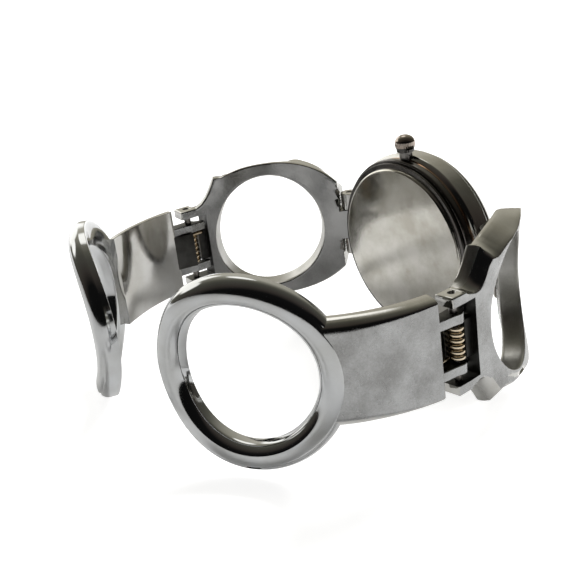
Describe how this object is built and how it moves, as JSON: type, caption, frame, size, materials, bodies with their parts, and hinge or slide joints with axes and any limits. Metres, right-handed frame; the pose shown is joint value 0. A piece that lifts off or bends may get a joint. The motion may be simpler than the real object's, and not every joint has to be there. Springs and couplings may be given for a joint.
{
  "type": "bracelet watch",
  "caption": "Round-cased quartz watch on a rigid open cuff with oval ring links, spring hinges and a thick open ring at each tip.",
  "frame": {"origin": "centre of the whole watch's box, at its lowest height, which is the bottom of the case side", "axes": "+Z along the wrist to the crown's side (3 o'clock), -Y out of the dial, +X to the 6 o'clock side"},
  "size_m": [0.0616, 0.0552, 0.0302],
  "materials": {
    "polished_steel": "polished plating",
    "satin_steel": "satin",
    "dark_steel": "plain steel",
    "spring_steel": "drawn wire",
    "crystal_glass": "clear",
    "black_rubber": "matte",
    "white_plastic": "matte",
    "dial_white": "lacquered",
    "dark_hands": "lacquered",
    "movement_brass": "plated",
    "board_green": "coated",
    "coil_copper": "wound wire",
    "battery_steel": "plain"
  },
  "bodies": {
    "case": {"case_body": "polished_steel", "caseback": "polished_steel", "back_gasket": "black_rubber", "bezel": "polished_steel", "crystal": "crystal_glass", "crystal_gasket": "white_plastic", "dial": "dial_white", "hour_markers": "polished_steel", "movement_ring": "white_plastic", "main_plate": "movement_brass", "train_bridge": "movement_brass", "circuit_board": "board_green", "motor_coil": "coil_copper", "battery": "battery_steel", "battery_clamp": "battery_steel", "crown_tube": "dark_steel", "ring_link_12": "satin_steel", "ring_link_6": "satin_steel", "link_pin_12": "dark_steel", "link_pin_6": "dark_steel", "hinge_pin_12": "dark_steel", "hinge_pin_6": "dark_steel", "hinge_spring_12": "spring_steel", "hinge_spring_6": "spring_steel"},
    "end_12": {"end_plate_12": "satin_steel", "end_ring_12": "polished_steel"},
    "end_6": {"end_plate_6": "satin_steel", "end_ring_6": "polished_steel"},
    "setting": {"setting_lever": "dark_steel"},
    "crown_stem": {"crown": "polished_steel", "crown_gasket": "black_rubber", "winding_stem": "dark_steel"},
    "minutes": {"cannon_pinion": "movement_brass", "minute_hand": "dark_hands"},
    "minute_work": {"minute_wheel": "movement_brass"},
    "hours": {"hour_wheel": "movement_brass", "hour_hand": "dark_hands"}
  },
  "joints": [
    {"name": "cuff_hinge_12", "type": "hinge", "parent": "case", "child": "end_12", "pos_m": [-0.02926, -0.00194, 0.0136], "axis": [0, 0, 1], "range_deg": [0, 35], "stiffness_Nm_per_rad": 0.03, "springref_deg": -20.05, "deforming": ["hinge_spring_12"]},
    {"name": "cuff_hinge_6", "type": "hinge", "parent": "case", "child": "end_6", "pos_m": [0.02926, -0.00194, 0.0136], "axis": [0, 0, -1], "range_deg": [0, 35], "stiffness_Nm_per_rad": 0.03, "springref_deg": -20.05, "deforming": ["hinge_spring_6"]},
    {"name": "crown_pull", "type": "slide", "parent": "case", "child": "setting", "axis": [0, 0, 1], "range_m": [0, 0.001]},
    {"name": "crown_turn", "type": "hinge", "parent": "setting", "child": "crown_stem", "pos_m": [0, -0.02269, 0.0276], "axis": [0, 0, 1], "continuous": true},
    {"name": "minute_turn", "type": "hinge", "parent": "case", "child": "minutes", "pos_m": [0, -0.02499, 0.0136], "axis": [0, 1, 0], "continuous": true},
    {"name": "minute_wheel_turn", "type": "hinge", "parent": "case", "child": "minute_work", "pos_m": [0.0024, -0.02449, 0.0136], "axis": [0, 1, 0], "continuous": true},
    {"name": "hour_turn", "type": "hinge", "parent": "case", "child": "hours", "pos_m": [0, -0.02499, 0.0136], "axis": [0, 1, 0], "continuous": true}
  ],
  "couplings": [
    {"joint": "minute_wheel_turn", "follows": "minute_turn", "ratio": -0.33333},
    {"joint": "hour_turn", "follows": "minute_turn", "ratio": 0.083333}
  ]
}
